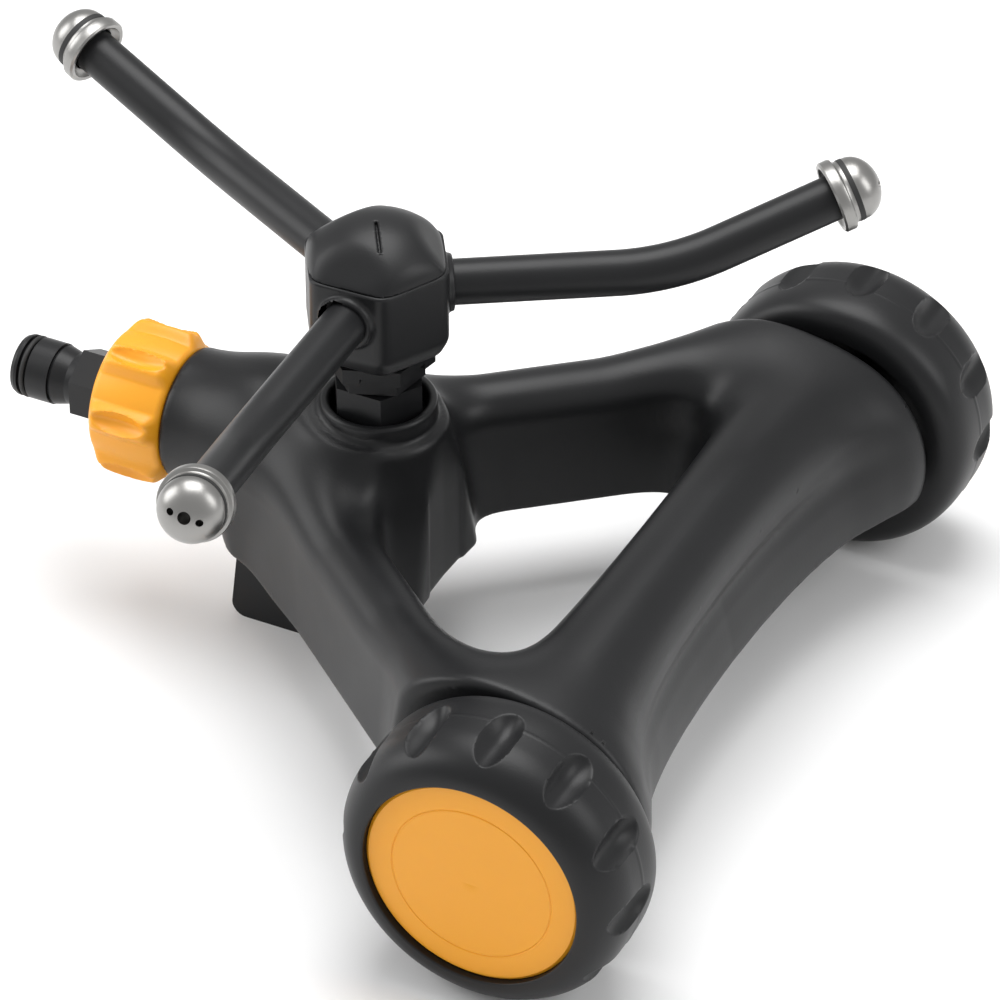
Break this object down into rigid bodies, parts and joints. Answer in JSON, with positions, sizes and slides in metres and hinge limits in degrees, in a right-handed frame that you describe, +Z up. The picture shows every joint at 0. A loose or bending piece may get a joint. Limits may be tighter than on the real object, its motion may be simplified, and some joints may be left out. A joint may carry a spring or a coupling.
{
  "type": "lawn sprinkler",
  "caption": "Wheeled garden sprinkler with a spinning rotor of bent arms and steel nozzle caps, orange hub caps and an orange flow ring.",
  "frame": {"origin": "on the ground under the rotor's axis, on the foot's ground face", "axes": "+Z up along the rotor's axis, -X towards the hose end, Y along the wheel axles"},
  "size_m": [0.2422, 0.2472, 0.1362],
  "materials": {
    "black_plastic": "satin",
    "orange_plastic": "satin",
    "nozzle_steel": "satin",
    "hardware_steel": "satin",
    "seal_rubber": "matte"
  },
  "bodies": {
    "base": {"base_shell": "black_plastic", "base_cover": "black_plastic", "cover_screws": "hardware_steel", "rear_foot": "black_plastic", "neck_plug": "black_plastic", "water_elbow": "black_plastic", "inlet_pipe": "black_plastic", "elbow_seal": "seal_rubber", "riser_pipe": "hardware_steel", "riser_seal": "seal_rubber", "riser_nut": "black_plastic", "gland_nut": "black_plastic", "thrust_washer": "hardware_steel", "hose_connector": "black_plastic", "connector_seal": "seal_rubber", "connector_gasket": "seal_rubber", "filter_screen": "hardware_steel", "valve_seal": "seal_rubber", "axle_bush_left": "black_plastic", "axle_bush_right": "black_plastic", "axle_left": "hardware_steel", "axle_right": "hardware_steel", "axle_clip_left": "hardware_steel", "axle_clip_right": "hardware_steel", "retaining_nut": "hardware_steel"},
    "rotor": {"rotor_housing": "black_plastic", "rotor_cap": "black_plastic", "rotor_bearing": "hardware_steel", "rotor_seal": "seal_rubber", "arm_1": "black_plastic", "arm_2": "black_plastic", "arm_3": "black_plastic", "arm_seal_1": "seal_rubber", "arm_seal_2": "seal_rubber", "arm_seal_3": "seal_rubber", "nozzle_seal_1": "seal_rubber", "nozzle_seal_2": "seal_rubber", "nozzle_seal_3": "seal_rubber"},
    "wheel_left_body": {"wheel_left": "black_plastic", "wheel_cap_left": "orange_plastic"},
    "wheel_right_body": {"wheel_right": "black_plastic", "wheel_cap_right": "orange_plastic"},
    "flow_ring_body": {"flow_ring": "orange_plastic", "valve_sleeve": "black_plastic"},
    "nozzle_1_body": {"nozzle_1": "nozzle_steel"},
    "nozzle_2_body": {"nozzle_2": "nozzle_steel"},
    "nozzle_3_body": {"nozzle_3": "nozzle_steel"}
  },
  "joints": [
    {"name": "rotor_spin", "type": "hinge", "parent": "base", "child": "rotor", "pos_m": [0, 0, 0.096], "axis": [0, 0, 1], "continuous": true},
    {"name": "wheel_left_spin", "type": "hinge", "parent": "base", "child": "wheel_left_body", "pos_m": [0.0855, 0.1, 0.038], "axis": [0, 1, 0], "continuous": true},
    {"name": "wheel_right_spin", "type": "hinge", "parent": "base", "child": "wheel_right_body", "pos_m": [0.0855, -0.1, 0.038], "axis": [0, 1, 0], "continuous": true},
    {"name": "flow_ring_turn", "type": "hinge", "parent": "base", "child": "flow_ring_body", "pos_m": [-0.066, 0, 0.056], "axis": [1, 0, 0], "range_deg": [0, 90]},
    {"name": "nozzle_1_turn", "type": "hinge", "parent": "rotor", "child": "nozzle_1_body", "pos_m": [0.09696, 0.0723, 0.12672], "axis": [0.6875, 0.6638, 0.2944], "range_deg": [-90, 90]},
    {"name": "nozzle_2_turn", "type": "hinge", "parent": "rotor", "child": "nozzle_2_body", "pos_m": [-0.11109, 0.04782, 0.12672], "axis": [-0.9186, 0.2635, 0.2944], "range_deg": [-90, 90]},
    {"name": "nozzle_3_turn", "type": "hinge", "parent": "rotor", "child": "nozzle_3_body", "pos_m": [0.01413, -0.12012, 0.12672], "axis": [0.2311, -0.9273, 0.2944], "range_deg": [-90, 90]}
  ]
}
